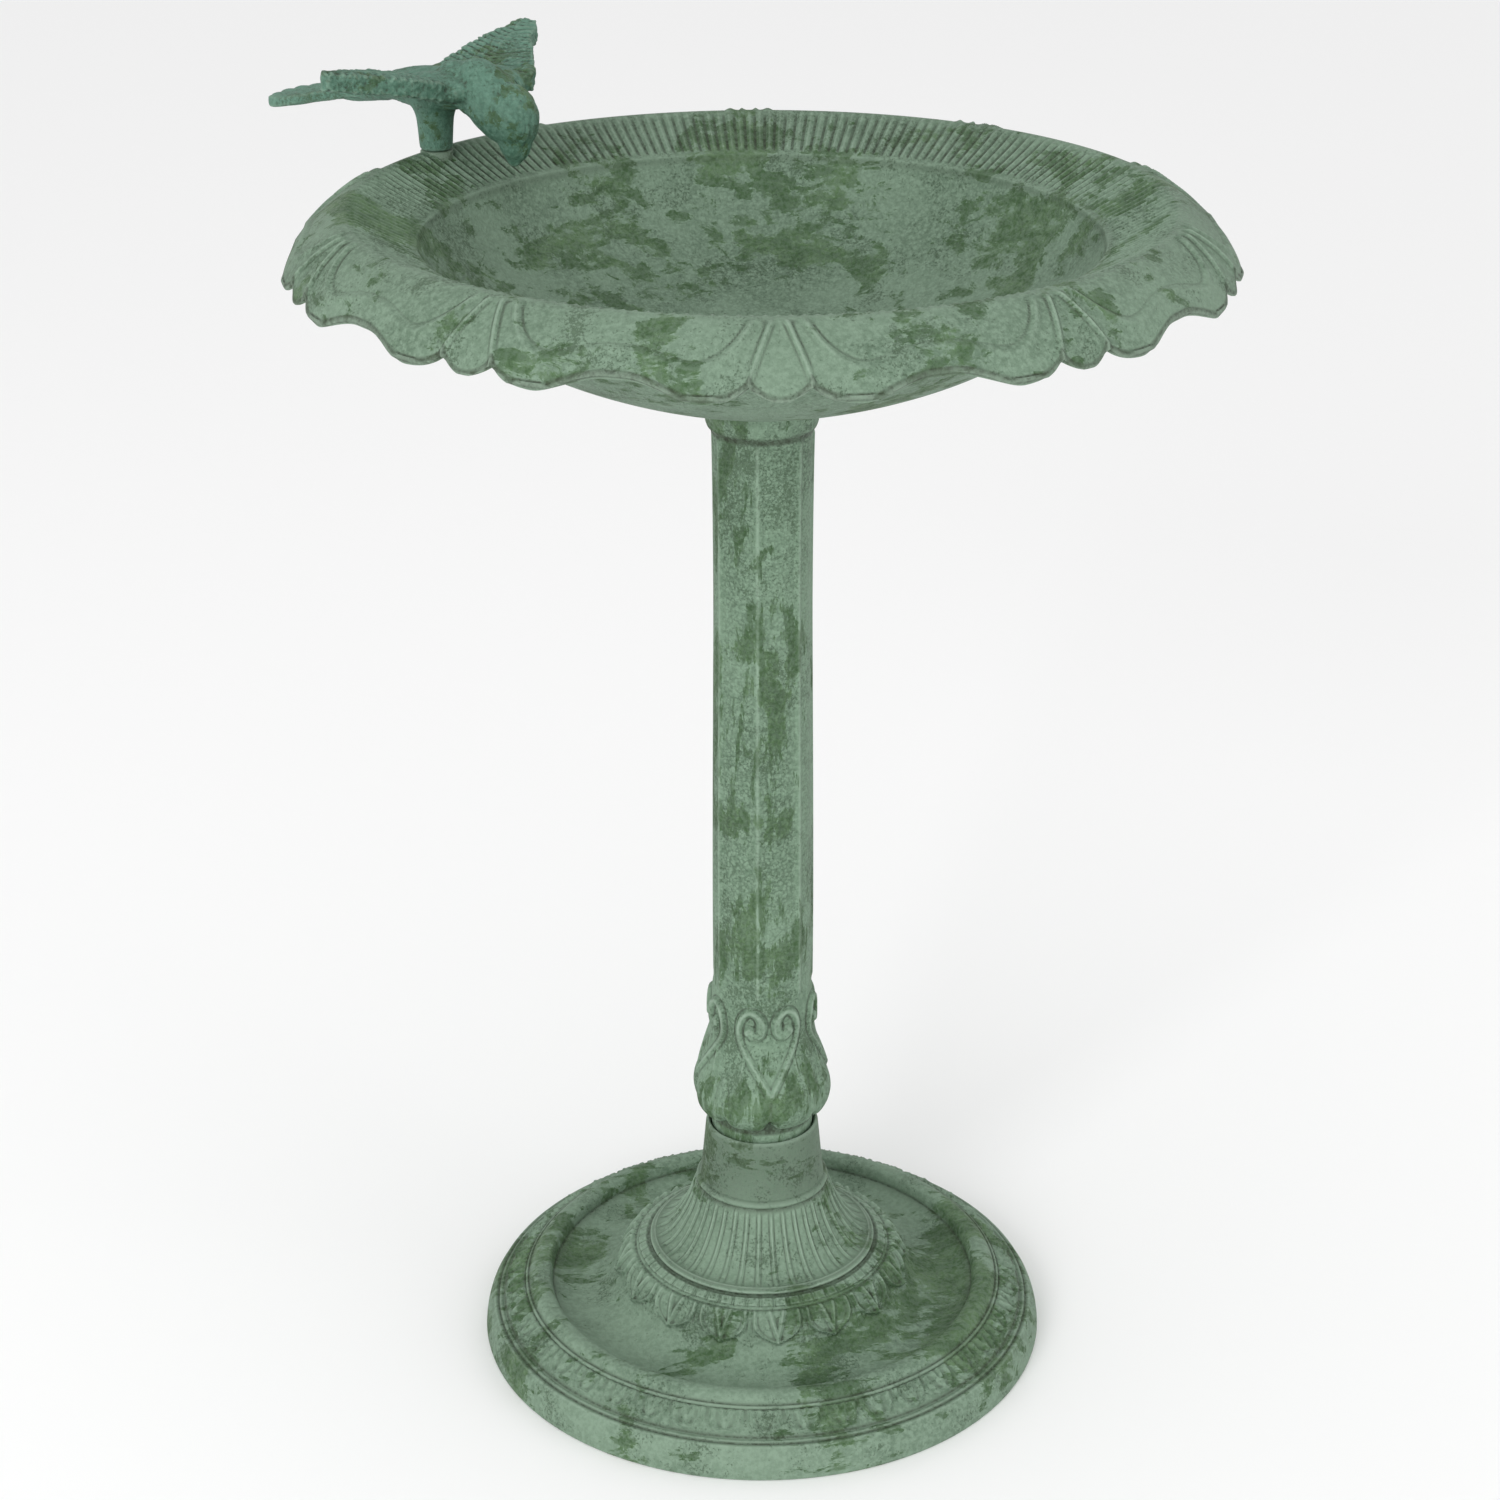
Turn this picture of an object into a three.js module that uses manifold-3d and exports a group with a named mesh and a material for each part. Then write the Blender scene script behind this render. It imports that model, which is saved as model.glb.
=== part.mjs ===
// Pedestal bird bath: a scalloped bowl with a drinking bird on its rim, on a hollow column in a round base.
// Three castings are clamped together by one threaded rod, which runs from a blind boss under the bowl
// down through the column to a nut under the base. Millimetres, +Z up, origin at the middle of the
// base's foot. The bird stands at the corner between -X and +Y and looks towards the bowl's middle.
import * as THREE from 'three';
import { mergeVertices } from 'three/addons/utils/BufferGeometryUtils.js';
import Module from 'manifold-3d';

const wasm = await Module();
wasm.setup();

// ---- driving dimensions --------------------------------------------------------------------------
const GAP = 0.3;                 // air left between pieces that touch
const FACETS = 40;               // sides of the base
const COLUMN_FACETS = 24;
const ROUND_FACETS = 24;         // sides of the bird's stem, the pad, the washers and the screw head
const BORE_FACETS = 16;          // sides of small holes and of the bird's screw

const BASE_RADIUS = 160;
const WEB_TOP = 98;              // the shelf in the base's neck that the column stands on
const WEB_BOTTOM = 93;
const SOCKET_TOP = 133.5;
const SOCKET_RADIUS = 28.2;

const FOOT_RADIUS = 27.3;        // plain ring at the column's foot, inside the socket
const BORE_RADIUS = 22;          // inside of the column
const COLUMN_TOP = 556;

const CREST_RADIUS = 207;        // top of the bowl's rim
const CREST_HEIGHT = 659;
const EDGE_RADIUS = 239;         // edge of the skirt at a lobe
const EDGE_DIP = 5;              // how far the edge draws in at the arch between two lobes
const SKIRT_START = 3;           // the scallops begin this far outside the crest
const SKIRT_RISE = 1.4;          // by which the edge rises for each millimetre that it draws in
const LOBES = 10;                // repeats of the scalloped edge
const FIRST_FAN = -100.2;        // degrees from +X to the front fan of the skirt
const BOWL_FACETS = 80;
const BOSS_BOTTOM = 534;
const BOSS_RADIUS = 21.2;

const ROD_RADIUS = 4;            // M8 rod
const ROD_BOTTOM = 62;
const ROD_TOP = 552;
const ROD_HOLE = 4.6;            // clearance hole for the rod
const NUT_HEIGHT = 6.5;
const LOCK_NUT_HEIGHT = 5;
const NUT_ACROSS_FLATS = 13;
const NUT_BORE = 4.1;
const WASHER_RADIUS = 20;        // large plate washer under the base's web
const WASHER_THICKNESS = 2.5;
const SPRING_WASHER_RADIUS = 7.2;
const SPRING_WASHER_THICKNESS = 2.2;
const WASHER_PLAY = 0.3;         // by which a washer's hole is larger in radius than its screw or rod

const STEM_ANGLE = 135;          // degrees from +X to the bird's stem, on the crest
const STEM_TURN_RADIUS = 206;
const SCREW_RADIUS = 2.5;        // M5 screw up into the bird's stem
const SCREW_TIP = 678;           // end of the screw inside the stem
const SCREW_HEAD_RADIUS = 4.6;
const SCREW_HEAD_HEIGHT = 4;
const SCREW_KEY = 3;             // across the flats of the hexagon socket in its head
const SCREW_CLEARANCE = 0.4;     // by which the hole in the pad is larger in radius than the screw
const STEM_HOLE_DEPTH = 22.2;
const SCREW_WASHER_RADIUS = 6;
const SCREW_WASHER_THICKNESS = 1.2;
const PAD_RADIUS = 9;            // flat pad in the crest that the stem stands on
const PAD_BOTTOM = 646.8;
const CUT_PAST = 20;             // by which a cutting shape goes past what it cuts
const ROD_HOLE_CLEAR = 2;        // blind hole above the rod's end
const SCREW_HEAD_CHAMFER = 0.6;
const SHANK_OVERLAP = 1;         // by which the screw's shank runs into its head
const STEM_HOLE_PLAY = 0.05;

// ---- helpers -------------------------------------------------------------------------------------
const radians = THREE.MathUtils.degToRad;

const castPaint = new THREE.MeshStandardMaterial({ color: 0x6f9380, roughness: 0.8, metalness: 0.1 });
const birdPaint = new THREE.MeshStandardMaterial({ color: 0x557a70, roughness: 0.75, metalness: 0.1 });
const zinc = new THREE.MeshStandardMaterial({ color: 0x9a9c9b, roughness: 0.4, metalness: 0.9 });

function toSolid(geometry) {
  const bare = geometry.clone();
  bare.deleteAttribute('normal');
  bare.deleteAttribute('uv');
  const merged = mergeVertices(bare, 1e-4);
  return new wasm.Manifold(new wasm.Mesh({
    numProp: 3,
    vertProperties: new Float32Array(merged.attributes.position.array),
    triVerts: new Uint32Array(merged.index.array),
  }));
}

function toGeometry(solid) {
  const mesh = solid.getMesh();
  const geometry = new THREE.BufferGeometry();
  geometry.setAttribute('position', new THREE.BufferAttribute(new Float32Array(mesh.vertProperties), 3));
  geometry.setIndex(new THREE.BufferAttribute(new Uint32Array(mesh.triVerts), 1));
  return geometry;
}

function named(name, geometry, material) {
  const mesh = new THREE.Mesh(geometry, material);
  mesh.name = name;
  return mesh;
}

// A turned solid about Z from [radius, height] points, listed counter-clockwise from the axis outwards.
function turned(points, facets) {
  const profile = points.map(([radius, height]) => new THREE.Vector2(radius, height));
  return new THREE.LatheGeometry(profile, facets).rotateX(Math.PI / 2);
}

// A ring or tube: the profile closes on itself.
function turnedRing(points, facets) {
  return turned([...points, points[0]], facets);
}

function disc(radius, bottom, top, facets = ROUND_FACETS) {
  return turned([[0, bottom], [radius, bottom], [radius, top], [0, top]], facets);
}

function hexPrism(acrossFlats, bottom, height, holeRadius) {
  const outline = new THREE.Shape();
  for (let corner = 0; corner < 6; corner++) {
    const angle = radians(30 + 60 * corner);
    const reach = acrossFlats / 2 / Math.cos(Math.PI / 6);
    const place = [reach * Math.cos(angle), reach * Math.sin(angle)];
    if (corner === 0) outline.moveTo(...place);
    else outline.lineTo(...place);
  }
  outline.closePath();
  if (holeRadius > 0) {
    const hole = new THREE.Path();
    hole.absarc(0, 0, holeRadius, 0, 2 * Math.PI, true);
    outline.holes.push(hole);
  }
  const prism = new THREE.ExtrudeGeometry(outline, { depth: height, bevelEnabled: false, curveSegments: 12 });
  return prism.translate(0, 0, bottom);
}

// ---- base ----------------------------------------------------------------------------------------
function baseCasting() {
  const underside = [
    [154, 0], [153, 8], [130, 27], [114, 19], [98, 18], [84, 24], [72, 40], [56, 52], [41, 72],
    [31, WEB_BOTTOM], [ROD_HOLE, WEB_BOTTOM],
  ];
  const socket = [[ROD_HOLE, WEB_TOP], [SOCKET_RADIUS, WEB_TOP], [SOCKET_RADIUS, SOCKET_TOP - 1.5]];
  const neck = [[29.6, SOCKET_TOP], [31.6, SOCKET_TOP - 2], [34.8, 98], [37.6, 94]];
  const flare = [[41, 82], [49, 67], [61, 57.5]];
  const bands = [[70, 53.5], [79, 42.5], [84, 33]];
  const dishAndTorus = [[92, 26.8], [102, 24.6], [113, 25.6], [122, 32.4], [129, 34.8], [135, 31]];
  const foot = [[149.2, 18.2], [155, 18.4], [158.6, 12], [BASE_RADIUS, 0]];
  const outside = [...socket, ...neck, ...flare, ...bands, ...dishAndTorus, ...foot];
  return turnedRing([...underside, ...outside].reverse(), FACETS);
}

// ---- column --------------------------------------------------------------------------------------
function columnCasting() {
  const foot = [[FOOT_RADIUS, WEB_TOP + GAP], [FOOT_RADIUS, 137], [30.5, 138.5]];
  const bulb = [
    [34.8, 143], [37.2, 150], [37.8, 157], [35.7, 168.5], [31.7, 181.5], [29.2, 191], [29.6, 200.5],
    [30, 208], [28.8, 216], [27.3, 223],
  ];
  const shaft = [[27.6, 270], [27.2, 330], [26.6, 390], [26, 446], [26.3, 505], [26.8, 539]];
  const collar = [[27.3, 541.5], [29.3, 545.5], [30.4, 550], [31, COLUMN_TOP - GAP]];
  const bore = [[BORE_RADIUS, COLUMN_TOP - GAP], [BORE_RADIUS, WEB_TOP + GAP]];
  return turnedRing([...foot, ...bulb, ...shaft, ...collar, ...bore], COLUMN_FACETS);
}

// ---- bowl ----------------------------------------------------------------------------------------
// Radius of the skirt's edge: full at the lobes, drawn in at the arch half-way between two fans.
function edgeRadius(angleDegrees) {
  const step = 360 / LOBES;
  const fromFan = Math.abs(THREE.MathUtils.euclideanModulo(angleDegrees - FIRST_FAN + step / 2, step) - step / 2);
  return EDGE_RADIUS - EDGE_DIP * THREE.MathUtils.smoothstep(fromFan, 0.27 * step, 0.47 * step);
}

// Draws the skirt of a turned bowl in or out to the scalloped edge, so that it slides along its own slope.
function scallop(geometry) {
  const position = geometry.attributes.position;
  for (let i = 0; i < position.count; i++) {
    const [x, y, z] = [position.getX(i), position.getY(i), position.getZ(i)];
    const radius = Math.hypot(x, y);
    if (radius <= CREST_RADIUS + SKIRT_START) continue;
    const edge = edgeRadius(THREE.MathUtils.radToDeg(Math.atan2(y, x)));
    const along = (radius - CREST_RADIUS) / (EDGE_RADIUS - CREST_RADIUS);
    const drawnIn = (EDGE_RADIUS - edge) * along;
    const scale = (radius - drawnIn) / radius;
    position.setXYZ(i, x * scale, y * scale, z + SKIRT_RISE * drawnIn * along);
  }
  return geometry;
}

function bowlCasting() {
  const holeTop = ROD_TOP + ROD_HOLE_CLEAR;
  const boss = [[0, holeTop], [ROD_HOLE, holeTop], [ROD_HOLE, BOSS_BOTTOM], [BOSS_RADIUS, BOSS_BOTTOM],
    [BOSS_RADIUS, COLUMN_TOP], [32, COLUMN_TOP]];
  const underside = [
    [60, 563], [100, 577], [132, 592.3], [156, 610], [170, 625.5], [177, 638], [190, 650.2], [206, 653],
    [221, 647.6], [237, 628.8],
  ];
  const skirt = [[EDGE_RADIUS, 631.4], [233, 640.8], [225, 649.2], [215.5, 656.2]];
  const rim = [[CREST_RADIUS, CREST_HEIGHT], [172.8, 643]];
  const dish = [[165, 628], [150, 611.5], [126, 594.5], [96, 580.4], [55, 567.8], [0, 562.5]];
  const plain = turned([...boss, ...underside, ...skirt, ...rim, ...dish], BOWL_FACETS);
  const shell = toSolid(scallop(plain));
  const pad = disc(PAD_RADIUS, PAD_BOTTOM, CREST_HEIGHT);
  const hole = disc(SCREW_RADIUS + SCREW_CLEARANCE, PAD_BOTTOM - CUT_PAST, CREST_HEIGHT + CUT_PAST, BORE_FACETS);
  const stem = stemPlace();
  [pad, hole].forEach((shape) => shape.translate(stem.x, stem.y, 0));
  return toGeometry(shell.add(toSolid(pad)).subtract(toSolid(hole)));
}

// ---- bird ----------------------------------------------------------------------------------------
function stemPlace() {
  const angle = radians(STEM_ANGLE);
  return { x: STEM_TURN_RADIUS * Math.cos(angle), y: STEM_TURN_RADIUS * Math.sin(angle) };
}

function egg(length, width, height, x, z, tilt) {
  const shape = new THREE.SphereGeometry(1, 14, 9).scale(length / 2, width / 2, height / 2);
  return shape.rotateY(radians(tilt)).translate(x, 0, z);
}

// A wing or the tail: a flat outline in X and Y, with its thickness along Z.
function plate(points, thickness) {
  const outline = new THREE.Shape(points.map(([x, y]) => new THREE.Vector2(x, y)));
  const shape = new THREE.ExtrudeGeometry(outline, { depth: thickness, bevelEnabled: false });
  return shape.translate(0, 0, -thickness / 2);
}

// The bird looks along its own +X, heights are from the seat of its stem.
function birdFigure() {
  const stem = turned([[0, GAP], [8.3, GAP], [9.6, 14], [10.6, 20], [13, 25], [13, 32], [0, 32]], ROUND_FACETS);
  const body = egg(84, 27, 23, 2, 34, -7);
  const neck = egg(52, 24, 27, 37, 32, 30);
  const head = egg(42, 27, 30, 52, 20, 62);
  const beak = egg(24, 9, 11, 52, 8, 80);
  const tail = plate([[-34, -9], [-98, -24], [-104, 0], [-98, 24], [-34, 9]], 6);
  tail.rotateY(radians(-10)).translate(0, 0, 36.4);
  const rump = egg(64, 22, 15, -36, 29, -14);
  const wings = [-1, 1].map((side) => {
    const outline = [[42, 6], [34, 30], [20, 52], [3, 86], [-6, 86], [-8, 45], [-14, 6]];
    const points = outline.map(([x, y]) => [x, y * side]);
    const wing = plate(side > 0 ? points : points.reverse(), 7);
    return wing.rotateX(radians(9 * side)).translate(0, 0, 40);
  });
  const pieces = [stem, body, neck, head, beak, tail, rump, ...wings].map(toSolid);
  const whole = pieces.reduce((sum, piece) => sum.add(piece));
  const hole = toSolid(disc(SCREW_RADIUS + STEM_HOLE_PLAY, -CUT_PAST, STEM_HOLE_DEPTH, BORE_FACETS));
  const bird = toGeometry(whole.subtract(hole));
  const place = stemPlace();
  bird.rotateZ(Math.atan2(-place.y, -place.x));
  return bird.translate(place.x, place.y, CREST_HEIGHT);
}

// ---- fasteners -----------------------------------------------------------------------------------
function washer(innerRadius, outerRadius, bottom, thickness) {
  const top = bottom + thickness;
  const section = [[innerRadius, bottom], [outerRadius, bottom], [outerRadius, top], [innerRadius, top]];
  return turnedRing(section, ROUND_FACETS);
}

// A split spring washer: one turn of a square section, cut through at one place.
function springWasher(innerRadius, outerRadius, bottom, thickness) {
  const outline = new THREE.Shape();
  const [start, end] = [radians(8), radians(352)];
  outline.absarc(0, 0, outerRadius, start, end, false);
  outline.absarc(0, 0, innerRadius, end, start, true);
  outline.closePath();
  const ring = new THREE.ExtrudeGeometry(outline, { depth: thickness, bevelEnabled: false, curveSegments: 20 });
  return ring.translate(0, 0, bottom);
}

function birdScrew() {
  const headTop = screwWasherBottom - GAP;
  const headBottom = headTop - SCREW_HEAD_HEIGHT;
  const chamfered = SCREW_HEAD_RADIUS - SCREW_HEAD_CHAMFER;
  const profile = [[0, headBottom], [chamfered, headBottom], [SCREW_HEAD_RADIUS, headTop], [0, headTop]];
  const head = turned(profile, ROUND_FACETS);
  const shank = disc(SCREW_RADIUS, headTop - SHANK_OVERLAP, SCREW_TIP, BORE_FACETS);
  const socket = hexPrism(SCREW_KEY, headBottom - 1, SCREW_HEAD_HEIGHT / 2 + 1, 0);
  const screw = toSolid(head).add(toSolid(shank)).subtract(toSolid(socket));
  const place = stemPlace();
  return toGeometry(screw).translate(place.x, place.y, 0);
}

function screwWasher() {
  const place = stemPlace();
  const ring = washer(SCREW_RADIUS + WASHER_PLAY, SCREW_WASHER_RADIUS, screwWasherBottom, SCREW_WASHER_THICKNESS);
  return ring.translate(place.x, place.y, 0);
}

// ---- the whole bath ------------------------------------------------------------------------------
const plateBottom = WEB_BOTTOM - GAP - WASHER_THICKNESS;
const springBottom = plateBottom - GAP - SPRING_WASHER_THICKNESS;
const nutBottom = springBottom - GAP - NUT_HEIGHT;
const lockNutBottom = BOSS_BOTTOM - GAP - LOCK_NUT_HEIGHT;
const screwWasherBottom = PAD_BOTTOM - GAP - SCREW_WASHER_THICKNESS;
const washerHole = ROD_RADIUS + WASHER_PLAY;

const birdBath = new THREE.Group();
birdBath.add(
  named('base_casting', baseCasting(), castPaint),
  named('column_casting', columnCasting(), castPaint),
  named('bowl_casting', bowlCasting(), castPaint),
  named('bird_figure', birdFigure(), birdPaint),
  named('bird_screw', birdScrew(), zinc),
  named('bird_screw_washer', screwWasher(), zinc),
  named('tie_rod', disc(ROD_RADIUS, ROD_BOTTOM, ROD_TOP), zinc),
  named('rod_lock_nut', hexPrism(NUT_ACROSS_FLATS, lockNutBottom, LOCK_NUT_HEIGHT, NUT_BORE), zinc),
  named('plate_washer', washer(washerHole, WASHER_RADIUS, plateBottom, WASHER_THICKNESS), zinc),
  named('spring_washer', springWasher(washerHole, SPRING_WASHER_RADIUS, springBottom, SPRING_WASHER_THICKNESS), zinc),
  named('base_nut', hexPrism(NUT_ACROSS_FLATS, nutBottom, NUT_HEIGHT, NUT_BORE), zinc),
);

export default birdBath;
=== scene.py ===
# %% [markdown]
# # A cast bird bath in verdigris paint
# Four castings make this bird bath: a round base, a hollow column, a shallow bowl and a small bird. The
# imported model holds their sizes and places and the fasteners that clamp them. This lesson gives each
# casting its cast-in ornament and its rubbed paint, and gives the steel rod its thread.

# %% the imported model
import math

import bmesh
import bpy
import numpy as np
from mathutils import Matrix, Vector, noise


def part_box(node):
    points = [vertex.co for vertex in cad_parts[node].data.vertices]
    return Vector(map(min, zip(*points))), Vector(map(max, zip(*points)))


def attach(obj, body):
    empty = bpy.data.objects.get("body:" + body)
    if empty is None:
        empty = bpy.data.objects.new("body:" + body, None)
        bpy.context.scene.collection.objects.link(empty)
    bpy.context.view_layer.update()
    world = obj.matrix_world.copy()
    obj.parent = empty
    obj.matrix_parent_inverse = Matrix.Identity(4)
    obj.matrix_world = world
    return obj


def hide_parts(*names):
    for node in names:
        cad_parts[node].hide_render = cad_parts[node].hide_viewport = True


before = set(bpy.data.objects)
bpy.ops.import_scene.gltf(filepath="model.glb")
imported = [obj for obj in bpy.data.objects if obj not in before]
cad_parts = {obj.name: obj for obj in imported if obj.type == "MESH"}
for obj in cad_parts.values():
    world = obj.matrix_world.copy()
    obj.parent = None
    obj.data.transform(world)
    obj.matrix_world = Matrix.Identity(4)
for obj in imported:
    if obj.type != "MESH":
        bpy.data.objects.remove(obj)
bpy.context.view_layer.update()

MM = 0.001
print("nodes", sorted(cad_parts))

# %% [markdown]
# ## Camera
# The bath is seen from a little above eye level for such a low thing, with a short telephoto lens, so that
# the rims are ellipses and the base is seen from above. The camera is placed by the height it looks down
# from.

# %% camera
VIEW_TURN = math.radians(-12.2)
CAMERA_PITCH = math.radians(23.79)
CAMERA_DISTANCE = 1.5598
CAMERA_HEIGHT = 1.0467

lens = bpy.data.cameras.new("studio_camera")
lens.lens = 76.06
lens.sensor_width = 36
lens.shift_x = -0.008
camera = bpy.data.objects.new("studio_camera", lens)
bpy.context.collection.objects.link(camera)
camera.location = (
    CAMERA_DISTANCE * math.sin(VIEW_TURN), -CAMERA_DISTANCE * math.cos(VIEW_TURN), CAMERA_HEIGHT)
camera.rotation_euler = (math.pi / 2 - CAMERA_PITCH, 0, VIEW_TURN)
bpy.context.scene.camera = camera
print("camera at", tuple(round(v, 3) for v in camera.location))

# %% [markdown]
# ## Working by operators
# Edit-mode operators act on all that is selected, and loading the model leaves its parts selected, so every
# step starts from an empty selection. `focus` leaves just one piece selected and active.

# %% selection helpers
def deselect():
    if bpy.context.mode != "OBJECT":
        bpy.ops.object.mode_set(mode="OBJECT")
    bpy.ops.object.select_all(action="DESELECT")


def focus(piece):
    deselect()
    piece.select_set(True)
    bpy.context.view_layer.objects.active = piece
    return piece


def in_edit_mode(piece, work):
    """Runs work() on the piece in edit mode with all of it selected."""
    focus(piece)
    bpy.ops.object.mode_set(mode="EDIT")
    bpy.ops.mesh.select_all(action="SELECT")
    work()
    bpy.ops.object.mode_set(mode="OBJECT")
    return piece


# %% [markdown]
# ## Turned skins
# The castings are round, so each skin starts as an outline that is spun about the column's axis. An outline
# here is a few chosen points as (radius, height) in millimetres, and a smooth curve is drawn through them.
# A circle primitive is only a ring of vertices, so it makes a good thread to lay along the outline.

# %% outline and spin
def smooth(points, gap):
    """Points about `gap` mm apart on a smooth curve through the chosen ones."""
    chosen = np.array(points, float)
    ghosts = np.vstack([2 * chosen[0] - chosen[1], chosen, 2 * chosen[-1] - chosen[-2]])
    curve = []
    for a, b, c, d in zip(ghosts, ghosts[1:], ghosts[2:], ghosts[3:]):
        for t in np.linspace(0, 1, max(1, round(np.linalg.norm(c - b) / gap)), endpoint=False):
            curve.append((2 * b + (c - a) * t + (2 * a - 5 * b + 4 * c - d) * t ** 2
                          + (3 * b - a - 3 * c + d) * t ** 3) / 2)
    return [*curve, chosen[-1]]


def spun(name, outline, columns):
    """An open skin: the outline turned all the way round Z."""
    deselect()
    bpy.ops.mesh.primitive_circle_add(vertices=len(outline))
    piece = bpy.context.object
    piece.name = piece.data.name = name
    place = np.array([(r * MM, 0, z * MM) for r, z in outline])
    piece.data.vertices.foreach_set("co", place.ravel())

    def turn():
        thread = bmesh.from_edit_mesh(piece.data)
        thread.edges.ensure_lookup_table()
        last = [e for e in thread.edges if {v.index for v in e.verts} == {0, len(outline) - 1}]
        bmesh.ops.delete(thread, geom=last, context="EDGES_FACES")
        bmesh.update_edit_mesh(piece.data)
        bpy.ops.mesh.select_all(action="SELECT")
        bpy.ops.mesh.spin(steps=columns, angle=2 * math.pi, center=(0, 0, 0), axis=(0, 0, 1))
        bpy.ops.mesh.select_all(action="SELECT")
        bpy.ops.mesh.remove_doubles(threshold=1e-6)
        bpy.ops.mesh.normals_make_consistent(inside=False)

    in_edit_mode(piece, turn)
    print(name, "skin of", len(piece.data.polygons), "faces")
    return piece


# %% [markdown]
# ## Relief
# Cast ornament is a height on a plain surface. `relief` moves every vertex along its normal by a height
# that a small formula gives for its radius, angle and level. `keep` stores a value on each vertex for the
# paint to read. `step`, `band` and `ridge` are the three shapes that every formula is made of.

# %% relief
def read(piece, what="co"):
    values = np.empty(len(piece.data.vertices) * 3, np.float32)
    if what == "co":
        piece.data.vertices.foreach_get("co", values)
    else:
        piece.data.vertex_normals.foreach_get("vector", values)
    return values.reshape(-1, 3).astype(float)


def write(piece, place):
    piece.data.vertices.foreach_set("co", place.astype(np.float32).ravel())
    piece.data.update()


def keep(piece, name, values):
    attribute = piece.data.attributes.get(name) or piece.data.attributes.new(name, "FLOAT", "POINT")
    attribute.data.foreach_set("value", np.broadcast_to(values, len(piece.data.vertices)).astype(np.float32))


def polar(place):
    """Radius and level in mm, and angle in degrees."""
    radius = np.hypot(place[:, 0], place[:, 1]) / MM
    return radius, np.degrees(np.arctan2(place[:, 1], place[:, 0])), place[:, 2] / MM


def relief(piece, height):
    place = read(piece)
    normal = read(piece, "normal")
    raised = height(*polar(place))
    write(piece, place + normal * raised[:, None] * MM)
    return piece


def step(low, high, value):
    """0 up to low, 1 from high, and a smooth slope between."""
    t = np.clip((value - low) / (high - low), 0, 1)
    return t * t * (3 - 2 * t)


def band(low, high, value, soft):
    """1 between low and high, with soft sides."""
    return step(low - soft / 2, low + soft / 2, value) * (1 - step(high - soft / 2, high + soft / 2, value))


def ridge(distance, width):
    """A round-topped ridge across a distance from its middle line."""
    return np.exp(-(distance / (0.42 * width)) ** 2)


def repeat(angle, count, first=0.0):
    """The angle from the middle of the nearest of `count` equal repeats."""
    pitch = 360 / count
    return np.mod(angle - first + pitch / 2, pitch) - pitch / 2


# %% [markdown]
# ## Joining skins
# A casting's outside needs many columns for its ornament and its inside needs few, so they are spun apart and
# their open edges are bridged afterwards. The bridge copes with a different number of vertices on each side.

# %% join and bridge
def joined(name, *skins):
    deselect()
    for skin in skins:
        skin.select_set(True)
    bpy.context.view_layer.objects.active = skins[0]
    bpy.ops.object.join()
    piece = skins[0]
    piece.name = piece.data.name = name
    return piece


def bridge(piece, *rims):
    """Bridges pairs of open edges. A rim is (low radius, high radius, low level, high level) in mm."""
    for low_r, high_r, low_z, high_z in rims:
        def work():
            bpy.ops.mesh.select_all(action="DESELECT")
            shape = bmesh.from_edit_mesh(piece.data)
            for edge in shape.edges:
                if edge.is_boundary:
                    r, _, z = polar(np.array([v.co for v in edge.verts]))
                    inside = (r > low_r) & (r < high_r) & (z > low_z) & (z < high_z)
                    edge.select_set(bool(inside.all()))
            bmesh.update_edit_mesh(piece.data)
            bpy.ops.mesh.bridge_edge_loops()
        in_edit_mode(piece, work)

    def tidy():
        bpy.ops.mesh.remove_doubles(threshold=1e-6)
        bpy.ops.mesh.normals_make_consistent(inside=False)

    in_edit_mode(piece, tidy)
    bpy.ops.object.shade_smooth_by_angle(angle=math.radians(50))
    open_edges = sum(edge_is_open(piece))
    place = read(piece) / MM
    ends = np.array([edge.vertices[:] for edge in piece.data.edges])
    longest = np.linalg.norm(place[ends[:, 0]] - place[ends[:, 1]], axis=1).max()
    print(piece.name, len(piece.data.polygons), "faces,", open_edges, "open edges")
    print(piece.name, "longest edge", round(longest, 1), "mm")
    return piece


def edge_is_open(piece):
    shape = bmesh.new()
    shape.from_mesh(piece.data)
    counts = [not edge.is_manifold for edge in shape.edges]
    shape.free()
    return counts


# %% [markdown]
# ## The bowl
# The bowl is one casting: a shallow dish, a ring of fine ribs up to the crest, and a skirt that falls
# outwards to a scalloped edge of ten repeats. Each repeat has a fan of two straight ribs with a small
# scallop between them, then a lobe, an arch and a lobe. Spinning gives the plain bowl. The skirt is then
# drawn in to its outline, and the ribs and the border line of each field are raised.

# %% bowl sizes
FANS = 10
FIRST_FAN = -100.2
RIM_RIBS = 220
CREST = 207.0
SKIRT = [(207, 659), (211, 658.4), (215.5, 656.2), (221, 652.4), (227, 647.4), (233, 640.8), (237, 635.4),
         (239, 631.6)]
CUSP_ANGLE = 3.4
CUSP_RADIUS = 235.4
FACE_COLUMNS = 1100
INNER_COLUMNS = 220
STEM_PLACE = np.array([-145.664, 145.664, 659.0])


def edge_radius(from_fan):
    """Radius of the scalloped edge, by the angle from a fan's middle."""
    a = np.abs(from_fan)
    scallop = CUSP_RADIUS + 3.6 * (1 - (a / CUSP_ANGLE) ** 2)
    lobe = CUSP_RADIUS + 4.4 * (1 - np.exp(-np.maximum(a - CUSP_ANGLE, 0) / 1.6)) - 5.4 * step(8.5, 17, a)
    return np.where(a < CUSP_ANGLE, scallop, lobe)


def skirt_level(radius):
    return np.interp(radius, *np.array(smooth(SKIRT, 1)).T)


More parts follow.
